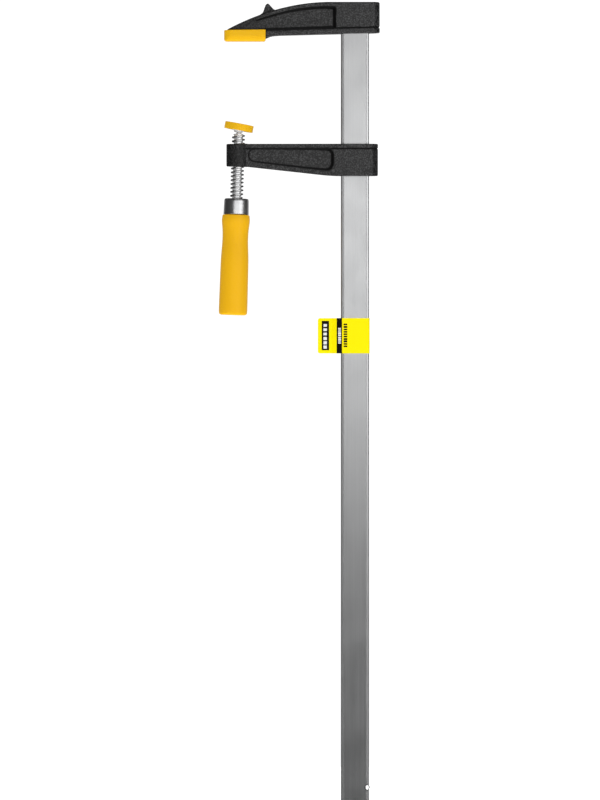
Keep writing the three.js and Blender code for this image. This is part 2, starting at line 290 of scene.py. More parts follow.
def paint(mesh, name, values):
    """Stores a value from 0 to 1 at every point of the mesh."""
    layer = mesh.color_attributes.new(name, "FLOAT_COLOR", "POINT")
    layer.data.foreach_set("color", np.repeat(values, 4).astype(np.float32))


def field_mesh(name, field, low, high, step, painted_shade=None):
    """A mesh of the surface where the field is 0, in quads about step wide, with exact normals.

    Its colour attribute "recess" is painted shade: 0 on open faces, rising to 1 in corners and on
    the walls and grooves that the painted_shade function marks.
    """
    low = np.array(low, float) - 2.5 * step
    axes = [np.arange(a, b + 2.5 * step, step) for a, b in zip(low, high, strict=True)]
    x, y, z = np.meshgrid(*axes, indexing="ij", sparse=True)
    values = np.broadcast_to(field(x, y, z), tuple(len(a) for a in axes))
    index, places = cell_points(values)
    points = low + places * step
    for _ in range(4):
        slope = gradient(field, points)
        size = np.maximum((slope**2).sum(1), 0.1)
        move = slope * (field(*points.T) / size)[:, None]
        points -= np.clip(move, -step / 2, step / 2)
    normals = gradient(field, points)
    normals /= np.maximum(np.linalg.norm(normals, axis=1), 1e-9)[:, None]
    mesh = bpy.data.meshes.new(name)
    mesh.from_pydata((points * MM).tolist(), [], cell_quads(values, index).tolist())
    mesh.shade_smooth()
    mesh.normals_split_custom_set_from_vertices(normals.tolist())
    # painted shade: darker where the surface folds into a corner, where shade would fall
    corner = 1 - field(*(points + normals * CORNER_REACH).T) / CORNER_REACH
    recess = np.clip(corner, 0, 1)
    if painted_shade:
        recess = np.maximum(recess, painted_shade(*points.T))
    paint(mesh, "recess", recess)
    return mesh


def ring_mesh(name, rings, cap_start=True, cap_end=True, closed=False):
    """A mesh through rings of points, in millimetres. Every ring has the same number of points."""
    rings = np.array(rings, float)
    rows, columns = rings.shape[:2]
    faces = []
    for i in range(rows if closed else rows - 1):
        for j in range(columns):
            k = (j + 1) % columns
            below, above = i * columns, ((i + 1) % rows) * columns
            faces.append((below + j, below + k, above + k, above + j))
    if not closed and cap_start:
        faces.append(tuple(reversed(range(columns))))
    if not closed and cap_end:
        faces.append(tuple(range((rows - 1) * columns, rows * columns)))
    mesh = bpy.data.meshes.new(name)
    mesh.from_pydata((rings.reshape(-1, 3) * MM).tolist(), [], faces)
    return mesh


def full_turn(count):
    """Evenly spaced angles, once round."""
    return np.arange(count) * 2 * math.pi / count


def turned_mesh(name, profile, segments):
    """A mesh turned about Z from (radius, height, rounding) points that run up its outside.

    A profile that starts and ends on the axis makes a solid piece, and any other one closes on itself.
    """
    on_axis = profile[0][0] == 0 and profile[-1][0] == 0
    points = outline(profile, 5)
    angles = full_turn(segments)
    circle = np.stack([np.cos(angles), np.sin(angles)], axis=1)
    inner = points[1:-1] if on_axis else points
    rings = [np.column_stack([circle * r, np.full(segments, h)]) for r, h in inner]
    return finish_turned(ring_mesh(name, rings, closed=not on_axis))


def finish_turned(mesh):
    """Smooth round shading, with flat ends and collars kept crisp."""
    mesh.shade_smooth()
    mesh.set_sharp_from_angle(angle=math.radians(40))
    return mesh


def weigh_normals(piece):
    """Keeps broad faces flat beside their rounded edges."""
    modifier = piece.modifiers.new("broad faces", "WEIGHTED_NORMAL")
    modifier.keep_sharp = True


# ---------------------------------------------------------------- materials


class Shader:
    """A Principled material and short ways to add nodes to it. Texture scales are in turns per metre."""

    def __init__(self, name, colour, roughness, metallic=0.0, **sockets):
        self.material = bpy.data.materials.new(name)
        self.material.use_nodes = True
        self.nodes = self.material.node_tree.nodes
        self.links = self.material.node_tree.links
        self.surface = self.nodes["Principled BSDF"]
        self.surface.inputs["Base Color"].default_value = (*colour, 1)
        self.surface.inputs["Roughness"].default_value = roughness
        self.surface.inputs["Metallic"].default_value = metallic
        for socket, value in sockets.items():
            self.surface.inputs[socket.replace("_", " ")].default_value = value
        self.place = self.nodes.new("ShaderNodeTexCoord").outputs["Object"]

    def stretched(self, scale):
        """The object's coordinates, scaled differently along X, Y and Z."""
        mapping = self.nodes.new("ShaderNodeMapping")
        mapping.inputs["Scale"].default_value = scale
        self.links.new(self.place, mapping.inputs["Vector"])
        return mapping.outputs["Vector"]

    def noise(self, scale, detail=3, roughness=0.5, vector=None):
        node = self.nodes.new("ShaderNodeTexNoise")
        node.inputs["Scale"].default_value = scale
        node.inputs["Detail"].default_value = detail
        node.inputs["Roughness"].default_value = roughness
        self.links.new(vector or self.place, node.inputs["Vector"])
        return node.outputs["Fac"]

    def spread(self, value, low, high, start=0.3, end=0.7):
        """Maps a texture's value from start..end to low..high."""
        node = self.nodes.new("ShaderNodeMapRange")
        node.inputs["From Min"].default_value = start
        node.inputs["From Max"].default_value = end
        node.inputs["To Min"].default_value = low
        node.inputs["To Max"].default_value = high
        self.links.new(value, node.inputs["Value"])
        return node.outputs["Result"]

    def add(self, a, b):
        node = self.nodes.new("ShaderNodeMath")
        node.operation = "ADD"
        self.links.new(a, node.inputs[0])
        self.links.new(b, node.inputs[1])
        return node.outputs[0]

    def painted(self, name):
        """A value stored on the mesh."""
        node = self.nodes.new("ShaderNodeAttribute")
        node.attribute_name = name
        return node.outputs["Fac"]

    def colours(self, value, first, second):
        """The surface's colour, between two colours or colour sockets, by a value from 0 to 1."""
        node = self.nodes.new("ShaderNodeMix")
        node.data_type = "RGBA"
        for socket, colour in ((node.inputs[6], first), (node.inputs[7], second)):
            if isinstance(colour, tuple):
                socket.default_value = (*colour, 1)
            else:
                self.links.new(colour, socket)
        self.links.new(value, node.inputs[0])
        self.links.new(node.outputs[2], self.surface.inputs["Base Color"])
        return node.outputs[2]

    def drive(self, value, socket):
        self.links.new(value, self.surface.inputs[socket])

    def bump(self, value, depth, strength=1.0):
        """Raises the surface by depth millimetres where the value is 1."""
        node = self.nodes.new("ShaderNodeBump")
        node.inputs["Strength"].default_value = strength
        node.inputs["Distance"].default_value = depth * MM
        self.links.new(value, node.inputs["Height"])
        self.links.new(node.outputs["Normal"], self.surface.inputs["Normal"])


def coated_casting():
    """Black powder coat over a sand casting: a fine pebbled skin with soft unevenness under it."""
    s = Shader("coated_casting", (0.02, 0.021, 0.023), 0.4, Specular_IOR_Level=0.66)
    pebble = s.noise(560, detail=2, roughness=0.6)
    swell = s.noise(150, detail=2)
    s.bump(s.add(pebble, s.spread(swell, 0, 0.5, 0, 1)), 0.55, 1.0)
    # painted shade: where the mesh's "recess" value rises, the coat turns near black and rougher
    recess = s.spread(s.painted("recess"), 0, 1, 0.12, 0.7)
    s.drive(s.add(s.spread(pebble, 0.46, 0.32), s.spread(recess, 0, 0.4, 0, 1)), "Roughness")
    speck = s.spread(s.noise(680, detail=2), 0, 1, 0.47, 0.62)
    mottle = s.colours(speck, (0.001, 0.001, 0.0012), (0.05, 0.0505, 0.052))
    # painted shade: the coat's colour mixed towards near black by the recess value
    s.colours(recess, mottle, (0.0006, 0.0006, 0.0007))
    return s.material


def drawn_steel():
    """Satin cold-drawn steel with fine lines along the bar."""
    s = Shader("drawn_steel", (0.58, 0.585, 0.59), 0.32, metallic=1.0)
    lines = s.noise(1, detail=5, roughness=0.7, vector=s.stretched((1600, 1600, 6)))
    bloom = s.noise(30, detail=3)
    s.drive(s.spread(s.add(lines, s.spread(bloom, 0, 0.2)), 0.32, 0.44, 0.4, 0.9), "Roughness")
    s.colours(s.spread(lines, 0, 1), (0.54, 0.545, 0.55), (0.62, 0.625, 0.63))
    s.bump(lines, 0.012, 0.3)
    return s.material


def plated_steel():
    """Bright zinc plate with a slight cloudiness and turning marks."""
    s = Shader("plated_steel", (0.84, 0.85, 0.87), 0.3, metallic=1.0)
    cloud = s.noise(220, detail=3)
    turning = s.noise(1, detail=3, vector=s.stretched((90, 90, 2600)))
    s.drive(s.spread(s.add(cloud, turning), 0.24, 0.38, 0.7, 1.3), "Roughness")
    s.colours(s.spread(cloud, 0, 1), (0.8, 0.82, 0.86), (0.9, 0.89, 0.86))
    s.bump(turning, 0.02, 0.3)
    return s.material


def zinc_plate(name, milky, dark_metal_colour=0.58):
    """Milky zinc plate, darker and more metallic as painted shade where "painted_dark_metal" is 1."""
    s = Shader(name, (0.86, 0.87, 0.89), 0.4, metallic=0.8)
    cloud = s.noise(260, detail=4)
    turning = s.noise(1, detail=3, vector=s.stretched((90, 90, 2600)))
    painted_dark_metal = s.painted("painted_dark_metal")
    s.drive(s.spread(s.add(cloud, turning), 0.22, 0.34, 0.7, 1.3), "Roughness")
    s.drive(s.spread(painted_dark_metal, 1 - milky, 1, 0, 1), "Metallic")
    pale = s.colours(s.spread(cloud, 0, 1), (0.9, 0.91, 0.94), (0.97, 0.96, 0.94))
    # painted shade: the darker colour where the painted_dark_metal value is 1
    s.colours(painted_dark_metal, pale, (dark_metal_colour, dark_metal_colour, dark_metal_colour))
    s.bump(turning, 0.02, 0.3)
    return s.material


def polished_chrome():
    """Softly polished chrome with fine turning rings."""
    s = Shader("polished_chrome", (0.64, 0.645, 0.655), 0.3, metallic=1.0)
    rings = s.noise(1, detail=4, roughness=0.6, vector=s.stretched((60, 60, 3200)))
    s.drive(s.spread(s.add(rings, s.noise(90)), 0.27, 0.37, 0.7, 1.3), "Roughness")
    s.colours(s.spread(s.noise(140), 0, 1), (0.6, 0.605, 0.62), (0.68, 0.68, 0.685))
    s.bump(rings, 0.012, 0.3)
    return s.material


def moulded_plastic(name, colour, deeper, roughness, shine):
    """Orange-yellow moulding with a faint pebble, slow flow marks and a little depth of colour."""
    s = Shader(name, colour, roughness, Specular_IOR_Level=shine)
    grain = s.noise(1400, detail=2)
    flow = s.noise(1, detail=3, vector=s.stretched((70, 70, 18)))
    s.drive(s.spread(s.add(grain, flow), roughness - 0.06, roughness + 0.08, 0.7, 1.3), "Roughness")
    s.colours(s.spread(flow, 0, 1), colour, deeper)
    s.bump(s.add(grain, flow), 0.05, 0.3)
    return s.material


def printed_film(name, colour, deeper, roughness):
    """The tag's film, or the ink on it, with faint ripples and uneven print."""
    s = Shader(name, colour, roughness, Specular_IOR_Level=0.05)
    ripple = s.noise(120, detail=2)
    s.drive(s.spread(s.noise(500, detail=3), roughness - 0.05, roughness + 0.1), "Roughness")
    s.colours(s.spread(s.noise(900, detail=3), 0, 1), colour, deeper)
    s.bump(ripple, 0.25, 0.4)
    return s.material


COATED = coated_casting()
DRAWN = drawn_steel()
PLATED = plated_steel()
ZINC = zinc_plate("zinc_plate", 0.55)
PALE_ZINC = zinc_plate("pale_zinc", 0.7)
# the pin's third number is the near-black painted shade round its heads' rims
PIN_ZINC = zinc_plate("pin_zinc", 0.8, 0.02)
CHROME = polished_chrome()
CAP_PLASTIC = moulded_plastic("cap_plastic", (0.9, 0.505, 0.005), (0.87, 0.475, 0.004), 0.4, 0.14)
HANDLE_PLASTIC = moulded_plastic(
    "handle_plastic", (0.885, 0.475, 0.005), (0.86, 0.455, 0.004), 0.3, 0.14
)
TAG_FILM = printed_film("tag_film", (1.0, 0.87, 0.0), (0.99, 0.85, 0.0), 0.35)
TAG_INK = printed_film("tag_ink", (0.003, 0.003, 0.003), (0.007, 0.006, 0.005), 0.4)
TAG_WHITE = printed_film("tag_white", (0.85, 0.86, 0.84), (0.8, 0.8, 0.78), 0.4)

# ---------------------------------------------------------------- bar and stop pin


def make_bar():
    """A drawn bar with its cut ends' edges taken off and a notch for the stop pin.

    Its sloping, rounded edges are set off from its faces by fine grooves.
    """
    # distance in from the edge, depth and rounding: the edge, its slope, the groove and the flat face
    steps = [(0, 2.0, 0.7), (0.7, 0.55, 0.5), (2.9, 0.02), (3.2, 0.18), (3.55, 0)]

    def section(inset, z):
        w, t = BAR_HALF_WIDTH - inset, BAR_HALF_THICK - inset
        face = [(d - w, depth - t, *rest) for d, depth, *rest in steps]
        face += [(w - d, depth - t, *rest) for d, depth, *rest in reversed(steps)]
        turned_face = [(-x, -y, *rest) for x, y, *rest in face]
        shape = outline([(BAR_MID_X + x, y, *rest) for x, y, *rest in face + turned_face])
        return np.column_stack([shape, np.full(len(shape), z)])

    low, high = BAR_LOW[2], BAR_HIGH[2]
    ends = [  # inset and height
        (0.5, low),
        (0.12, low + 0.15),
        (0, low + 0.5),
        (0, high - 0.5),
        (0.12, high - 0.15),
        (0.5, high),
    ]
    mesh = ring_mesh("bar_detail", [section(inset, z) for inset, z in ends])
    bar = make_object("bar_detail", mesh, "fixed_frame", "bar_steel", "bar")

    angles = full_turn(HOLE_SIDES)
    radius = PIN_RADIUS + PIN_FIT
    hole = [
        np.column_stack([
            PIN_CENTRE[0] + radius * np.cos(angles),
            np.full(HOLE_SIDES, y),
            PIN_CENTRE[2] + radius * np.sin(angles),
        ])
        for y in (HOLE_REACH, -HOLE_REACH)
    ]
    cutter = bpy.data.objects.new("notch", ring_mesh("notch", hole))
    bpy.context.scene.collection.objects.link(cutter)
    notch = bar.modifiers.new("notch", "BOOLEAN")
    notch.operation = "DIFFERENCE"
    notch.solver = "EXACT"
    notch.object = cutter
    apply_modifiers(bar)
    bpy.data.objects.remove(cutter)
    bar.data.shade_smooth()
    bar.data.set_sharp_from_angle(angle=math.radians(15))
    weigh_normals(bar)
    bar.data.materials.append(DRAWN)


def apply_modifiers(piece):
    """Replaces the piece's mesh by what its modifiers make of it."""
    graph = bpy.context.evaluated_depsgraph_get()
    mesh = bpy.data.meshes.new_from_object(piece.evaluated_get(graph))
    piece.modifiers.clear()
    piece.data = mesh


def make_stop_pin():
    """A pin with peened oval heads proud of the bar, pale on top and painted dark round the rim as shade."""
    under, end = BAR_HALF_THICK + HEAD_GAP, PIN_HIGH[1]
    wide, high = PIN_HEAD
    crown = high - PIN_RIM
    head = [
        (high, under),
        (high, under + 0.35),
        (crown, end - 0.35),
        (crown - 0.2, end - 0.3),
        (1.6, end - 0.05, 0.6),
    ]
    upper = [(PIN_RADIUS, under - 0.04), *head, (0, end)]
    lower = [(radius, -height, *rest) for radius, height, *rest in reversed(upper)]
    mesh = turned_mesh("bar_stop_pin_detail", lower + upper, PIN_SIDES)
    places = np.empty(len(mesh.vertices) * 3)
    mesh.vertices.foreach_get("co", places)
    places = places.reshape(-1, 3) / MM
    on_head = np.abs(places[:, 2]) > under - 0.01
    on_crown = on_head & (np.hypot(*places[:, :2].T) < crown - 0.1)
    places[on_head, 0] *= wide / high
    mesh.vertices.foreach_set("co", places.ravel() * MM)
    # painted shade: the heads' rims darker than their crowns
    paint(mesh, "painted_dark_metal", np.where(on_crown, 0, 1))
    turn = Matrix.Rotation(math.pi / 2, 4, "X")
    mesh.transform(Matrix.Translation(Vector((PIN_CENTRE[0], 0, PIN_CENTRE[2])) * MM) @ turn)
    pin = make_object("bar_stop_pin_detail", mesh, "fixed_frame", "plated_steel", "bar_stop_pin")
    pin.data.materials.append(PIN_ZINC)


# ---------------------------------------------------------------- fixed jaw and its cap


def jaw_back(x, drop=0.0):
    """Height of the fixed jaw's curved back."""
    return JAW_HIGH[2] - JAW_FALL * np.maximum(JAW_CREST_X - x, 0) ** 2 - drop


def back_curve(start, end, drop, steps):
    """Points along the jaw's back, lowered by drop."""
    return [(x, jaw_back(x, drop)) for x in np.linspace(start, end, steps + 1)]


def mirrored(half):
    """A plan outline from its front half, listed from the nose to the bar end with y below 0."""
    return half + [(x, -y, *rest) for x, y, *rest in reversed(half)]


PAD_HALF_WIDTH = 12.2
PAD_NOSE = 8
PAD_UNDERSIDE = JAW_LOW[2]
PAD_END = 29.6  # where the pad ends and the flange starts
BEYOND = 5  # side outlines run on past the ends, which the plan outlines shape
UNDERSIDE = [
    (PAD_END, PAD_UNDERSIDE, 1),
    (35, 5.9, 3),
    (44, 6.8, 5),
    (104, 8.3, 10),
    (JAW_HIGH[0] + BEYOND, 9.8),
]
JAW_SIDE = outline([
    (JAW_LOW[0] - BEYOND, PAD_UNDERSIDE),
    *UNDERSIDE,
    (JAW_HIGH[0] + BEYOND, JAW_HIGH[2]),
    *back_curve(JAW_CREST_X, JAW_LOW[0] - BEYOND, 0, 32),
])
JAW_PLAN = outline(mirrored([
    (JAW_LOW[0], -8, 6),
    (30, -8.5, 8),
    (112, -12, 8),
    (JAW_HIGH[0] - 6, -12, 2),
    (JAW_HIGH[0] - 1, -6.5, 2),
    (JAW_HIGH[0], -2, 2),
]))
FLANGE_TOP = [(PAD_END, 12.3), (110.5, 14.2), (JAW_HIGH[0] + BEYOND, 15.6)]
FLANGE_SIDE = outline([*UNDERSIDE, *reversed(FLANGE_TOP)])
FLANGE_PLAN = outline(mirrored([
    (PAD_END, -12.4),
    (112, -13.2),
    (JAW_HIGH[0] - 6, -13.2, 2),
    (JAW_HIGH[0], -6, 3),
]))
PAD_PLAN = outline(mirrored([(JAW_LOW[0], -PAD_HALF_WIDTH, PAD_NOSE), (PAD_END, -PAD_HALF_WIDTH)]))
HORN = outline([
    (20, 26),
    (24.3, 31.1, 1),
    (26.2, 33.5, 2),
    (27.8, 38.6, 1.5),
    (29.3, 42.3, 1.3),
    (31.9, 44.3, 1.9),
    (36.4, 39.3, 1.5),
    (39.6, 35.9, 2),
    (42, 30),
])
JAW_PANEL = outline([
    (13, 12.7),
    (110.5, 14.5, 3),
    (110.5, 40.2, 3.2),
    *back_curve(98, 16, JAW_RIM, 20),
])


def jaw_half_width(x):
    return np.interp(x, [30, 112], [8.5, 12])


def jaw_recess_wall(x, y, z):
    """Distance to the leaning wall of the recessed panel, negative inside the recess."""
    return outline_distance(JAW_PANEL, x, z) + DRAFT * (jaw_half_width(x) - np.abs(y))


def jaw_web(x):
    """Half thickness of the jaw behind its recess, which runs out to nothing towards the nose."""
    return np.interp(x, [12, 28], [8.6, WEB])


def wall_shade(wall, y, half_width):
    """1 on a recess's wall, falling to 0 beside it."""
    depth = np.clip((half_width - np.abs(y)) / 0.8, 0, 1)
    return np.clip(1.25 - np.abs(wall) / 0.9, 0, 1) * depth


def groove_height(x):
    """Height of the fine groove over the fixed jaw's flange."""
    return np.interp(x, *zip(*FLANGE_TOP, strict=True)) + 0.6


def groove_shade(plan, height):
    """1 in a groove round a casting, falling to 0 above and below it."""
    return np.clip(1.5 - np.abs(height) / 0.75, 0, 1) * (np.abs(plan + 0.4) < 1.2)


def fixed_jaw_painted_shade(x, y, z):
    """Painted shade on the jaw from its recess and groove, and a little all over near its nose."""
    shade = wall_shade(jaw_recess_wall(x, y, z), y, jaw_half_width(x))
    groove = groove_shade(outline_distance(JAW_PLAN, x, y), z - groove_height(x))
    line = np.maximum(shade, groove) * np.clip((x - 13) / 8, 0, 1)
    return np.maximum(line, 0.35 * np.clip((40 - x) / 20, 0, 1))


def fixed_jaw_field(x, y, z):
    """Distance to the jaw: body, flange, pad and horn, less the groove, the recesses and the slot."""
    plan = outline_distance(JAW_PLAN, x, y)
    body = meet(outline_distance(JAW_SIDE, x, z), plan, 1.5)
    body = cut(body, np.hypot(plan, z - groove_height(x)) - 0.9, 0.3)
    flange = meet(outline_distance(FLANGE_SIDE, x, z), outline_distance(FLANGE_PLAN, x, y), 1.0)
    body = join(body, flange, 0.25)
    pad = meet(outline_distance(PAD_PLAN, x, y), np.maximum(PAD_UNDERSIDE - z, z - 11), 0.8)
    body = join(body, pad, 1.0)
    body = join(body, meet(outline_distance(HORN, x, z), np.abs(y) - 5, 1.5), 2.0)
    body = cut(body, meet(jaw_recess_wall(x, y, z), jaw_web(x) - np.abs(y), 0.9), 0.7)
    return cut(body, bar_slot(x, y), 0.5)


def make_fixed_jaw():
    mesh = field_mesh("fixed_jaw_detail", fixed_jaw_field, JAW_LOW, JAW_HIGH, CASTING_STEP, fixed_jaw_painted_shade)
    jaw = make_object("fixed_jaw_detail", mesh, "fixed_frame", "coated_casting", "fixed_jaw")
    jaw.data.materials.append(COATED)


CAP_PLAN = outline(mirrored([(CAP_LOW[0], CAP_LOW[1], 10), (CAP_HIGH[0], CAP_LOW[1], 1.4)]), 10)
CAP_POCKET = outline(mirrored([
    (JAW_LOW[0] - CLEARANCE, -PAD_HALF_WIDTH - CLEARANCE, PAD_NOSE),
    (CAP_HIGH[0] + 6, -PAD_HALF_WIDTH - CLEARANCE),
]))


def fixed_jaw_cap_field(x, y, z):
    """Distance to the cap, with its drawn-in sides and the pocket for the jaw's pad."""
    top = CAP_HIGH[2] - CAP_RISE * (CAP_HIGH[0] - x) / (CAP_HIGH[0] - CAP_LOW[0])
    plan = outline_distance(CAP_PLAN, x, y)
    body = meet(plan, z - top, 0.7)
    side = np.abs(y) - CAP_HIGH[1] + CAP_INSET - CAP_SLOPE * z
    body = meet(body, side * math.cos(math.atan(CAP_SLOPE)), 0.8)
    body = meet(body, -z, 2.4)
    floor = PAD_UNDERSIDE - CLEARANCE
    pocket = meet(outline_distance(CAP_POCKET, x, y), floor - z, 0.8)
    return cut(body, pocket, 0.6)


def make_fixed_jaw_cap():
    mesh = field_mesh("fixed_jaw_cap_detail", fixed_jaw_cap_field, CAP_LOW, CAP_HIGH, CAP_STEP)
    cap = make_object("fixed_jaw_cap_detail", mesh, "fixed_frame", "cap_plastic", "fixed_jaw_cap")
    cap.data.materials.append(CAP_PLASTIC)


# ---------------------------------------------------------------- sliding arm


def arm_plan(grow):
    """The arm's plan outline, with its sides moved out by grow."""
    return outline(mirrored([
        (BOSS_X, -7.2 - grow),
        (70, -8.4 - grow, 10),
        (112, -11.5 - grow, 8),
        (ARM_HIGH[0] - 6.3, -11.5 - grow, 1.5),
        (ARM_HIGH[0] - 1.2, -6 - grow, 2),
        (ARM_HIGH[0], -2, 2),
    ]))


ARM_SIDE = outline([
    (BOSS_X, BOSS_BOTTOM),
    (6, BOSS_BOTTOM - 0.2, 2),
    (99.5, ARM_LOW[2] + 0.6, 8),
    (112, ARM_LOW[2], 4),
    (ARM_HIGH[0] + BEYOND, ARM_LOW[2]),
    (ARM_HIGH[0] + BEYOND, ARM_HIGH[2]),
    (BOSS_X, ARM_HIGH[2]),
])
ARM_PANEL = outline([
    (8.7, ARM_HIGH[2] - ARM_RIM, 8.4),
    (8.7, -138.9, 8.4),
    (107.9, -151, 12),
    (107.9, ARM_HIGH[2] - ARM_RIM, 9),
])
ARM_PLAN = arm_plan(0)
ARM_RIM_PLAN = arm_plan(0.9)


def arm_half_width(x):
    return np.interp(x, [BOSS_X, 70, 112], [7.2, 8.4, 11.5])


def arm_recess_wall(x, y, z):
    """Distance to the leaning wall of the recessed panel, negative inside the recess."""
    return outline_distance(ARM_PANEL, x, z) + DRAFT * (arm_half_width(x) - np.abs(y))


UNDER_RIM = ARM_HIGH[2] - ARM_RIM - 0.5  # height of the fine groove under the arm's rim


def sliding_arm_painted_shade(x, y, z):
    """Painted shade on the arm from its recess and groove, more round the boss and a little all over."""
    shade = wall_shade(arm_recess_wall(x, y, z), y, arm_half_width(x))
    groove = groove_shade(outline_distance(ARM_PLAN, x, y), z - UNDER_RIM)
    boss = 0.45 * np.clip((BOSS_X + BOSS_RADIUS - x) / 3, 0, 1)
    return np.maximum(np.maximum(shade, groove), np.maximum(boss, 0.2))


def sliding_arm_field(x, y, z):
    """Distance to the arm: body, rim and boss, less the groove, recesses, slot and bore."""
    plan = outline_distance(ARM_PLAN, x, y)
    body = meet(outline_distance(ARM_SIDE, x, z), plan, 1.4)
    body = cut(body, np.hypot(plan, z - UNDER_RIM) - 0.75, 0.3)
    rim = np.maximum(z - ARM_HIGH[2], ARM_HIGH[2] - ARM_RIM - z)
    body = join(body, meet(outline_distance(ARM_RIM_PLAN, x, y), rim, 0.9), 0.25)
    ends = np.maximum(z - ARM_HIGH[2], BOSS_BOTTOM - z)
    boss = meet(np.hypot(x - BOSS_X, y) - BOSS_RADIUS, ends, 1.2)
    body = join(body, boss, 1.2)
    body = cut(body, meet(arm_recess_wall(x, y, z), WEB - np.abs(y), 0.9), 0.7)
    body = cut(body, bar_slot(x, y), 0.5)
    lean = SCREW_AXIS[0] / SCREW_AXIS[2]
    bore = np.hypot(x - BALL_CENTRE[0] - lean * (z - BALL_CENTRE[2]), y) - BORE_RADIUS
    return cut(body, bore, 0.9)


def make_sliding_arm():
    mesh = field_mesh(
        "sliding_arm_detail", sliding_arm_field, ARM_LOW, ARM_HIGH, CASTING_STEP, sliding_arm_painted_shade
    )
    arm = make_object("sliding_arm_detail", mesh, "arm", "coated_casting", "sliding_arm")
    arm.data.materials.append(COATED)


# ---------------------------------------------------------------- spindle, ferrule and handle


def thread_height(phase):
    """0 on the thread's root and 1 on its crest, over one pitch from 0 to 1."""
    rise = np.clip((phase - 0.35) / 0.13, 0, 1)
    fall = np.clip((0.91 - phase) / 0.13, 0, 1)
    height = np.minimum(rise, fall)
    return height * height * (3 - 2 * height)


def spindle_radius(angle, height):
    """The spindle's radius round its axis at one height below or above the ball's centre."""
    ball_end = -math.sqrt(BALL_RADIUS**2 - NECK_RADIUS**2)
    if height > ball_end:
        return np.full(angle.shape, math.sqrt(max(BALL_RADIUS**2 - height**2, 0)))
    if height > SHOULDER_TOP:
        return np.full(angle.shape, NECK_RADIUS)
    if height > THREAD_BOTTOM:
        shoulder = np.clip((SHOULDER_TOP - height) / 0.8, 0, 1)
        run_in = np.clip((THREAD_TOP - height) / THREAD_PITCH * 3, 0, 1)
        run_out = np.clip((height - THREAD_BOTTOM) / THREAD_PITCH, 0, 1)
        ridge = thread_height((height / THREAD_PITCH - angle / (2 * math.pi) + THREAD_START) % 1)
        root = NECK_RADIUS + (THREAD_ROOT - NECK_RADIUS) * shoulder
        return root + (THREAD_CREST - THREAD_ROOT) * ridge * run_in * run_out
    if height > TANG_TOP:
        return np.full(angle.shape, SHANK_RADIUS)
    flats = [
        half / np.maximum(np.abs(f(angle)), 1e-6)
        for half, f in zip(TANG_HALF, (np.cos, np.sin), strict=True)
    ]
    return np.minimum(np.minimum(*flats), SHANK_RADIUS)


def make_spindle():
    """Ball, neck, right-hand thread, shank and flat tang as one skin about the screw's axis."""
    angle = full_turn(SPINDLE_SIDES)
    ball = BALL_RADIUS * np.cos(np.linspace(0.06, math.pi - math.asin(NECK_RADIUS / BALL_RADIUS), 16))
    thread = np.arange(SHOULDER_TOP - 0.01, THREAD_BOTTOM, -THREAD_PITCH / THREAD_RINGS)
    rest = [THREAD_BOTTOM - 0.01, TANG_TOP, TANG_TOP - 0.3, TANG_BOTTOM]
    heights = [*ball, -4.5, SHOULDER_TOP + 0.01, *thread, *rest]
    rings = []
    for h in reversed(heights):
        r = spindle_radius(angle, h)
        rings.append(np.column_stack([r * np.cos(angle), r * np.sin(angle), np.full(SPINDLE_SIDES, h)]))
    mesh = ring_mesh("spindle_detail", rings)
    # painted shade: the thread's crests are darker, more metallic zinc than its roots
    ridge = np.clip((np.linalg.norm(np.array(rings)[..., :2], axis=2) - THREAD_ROOT) / 0.8, 0, 1)
    paint(mesh, "painted_dark_metal", ridge.ravel())
    mesh.shade_smooth()
    mesh.set_sharp_from_angle(angle=math.radians(60))
    place_on(mesh, BALL_CENTRE, SCREW_AXIS)
    spindle = make_object("spindle_detail", mesh, "screw", "plated_steel", "spindle")
    spindle.data.materials.append(ZINC)


def place_on(mesh, centre, axis):
    """Moves a mesh made about Z at the origin onto an axis, at centre in millimetres."""
    mesh.transform(axis_matrix(np.array(centre) * MM, axis))


def make_turned(node, profile, segments, axis, body, slot, material):
    """A piece turned about an axis through the ball's centre, in place of a CAD node."""
    name = node + "_detail"
    mesh = turned_mesh(name, profile, segments)
    place_on(mesh, BALL_CENTRE, axis)
    piece = make_object(name, mesh, body, slot, node)
    weigh_normals(piece)
    piece.data.materials.append(material)


def make_ferrule():
    """A drawn steel cup with a rounded shoulder and a rolled lower edge."""
    hole, top, bottom = THREAD_CREST + 0.6, FERRULE_TOP, FERRULE_BOTTOM
    profile = [
        (13.1, bottom, 0.2),
        (14.3, bottom, 0.4),
        (14.65, bottom + 0.6, 0.4),
        (14.55, bottom + 2.2, 1),
        (14.4, bottom + 9, 3),
        (14.15, top - 2.2, 1),
        (13.6, top - 0.4, 0.7),
        (11.2, top, 0.8),
        (hole, top, 0.3),
        (hole, top - 1.3, 0.3),
        (12.2, top - 2.2, 1),
        (13.1, bottom + 8, 2),
    ]
    make_turned("ferrule", profile, FINE_SIDES, SCREW_AXIS, "screw", "ferrule_chrome", CHROME)


def handle_profile():
    """(radius, height) points of the grip, from its flat end up to the ferrule."""
    grip = [
        (16.15, 1.6),
        (16.5, 5),
        (16.5, 12),
        (16.4, 24),
        (16.3, 36),
        (16.2, 48),
        (16.1, 58),
        (15.9, 66),
        (15.55, 73),
        (15.15, 80),
        (14.9, 86),
        (14.9, 92),
        (15.15, 98),
        (15.65, 103),
        (16.1, 107),
        (16.2, 110),
        (16.0, 112.6),
    ]
    return [(r, HANDLE_BOTTOM + h) for r, h in grip]


def smooth_curve(points, steps=5):
    """A Catmull-Rom curve through the points."""
    points = np.array(points, float)
    padded = np.vstack([2 * points[0] - points[1], points, 2 * points[-1] - points[-2]])
    curve = []
    for i in range(len(points) - 1):
        a, b, c, d = padded[i : i + 4]
        first, second, third = c - a, 2 * a - 5 * b + 4 * c - d, 3 * b - a - 3 * c + d
        for t in np.arange(steps) / steps:
            curve.append(0.5 * (2 * b + first * t + second * t**2 + third * t**3))
    return [*curve, points[-1]]


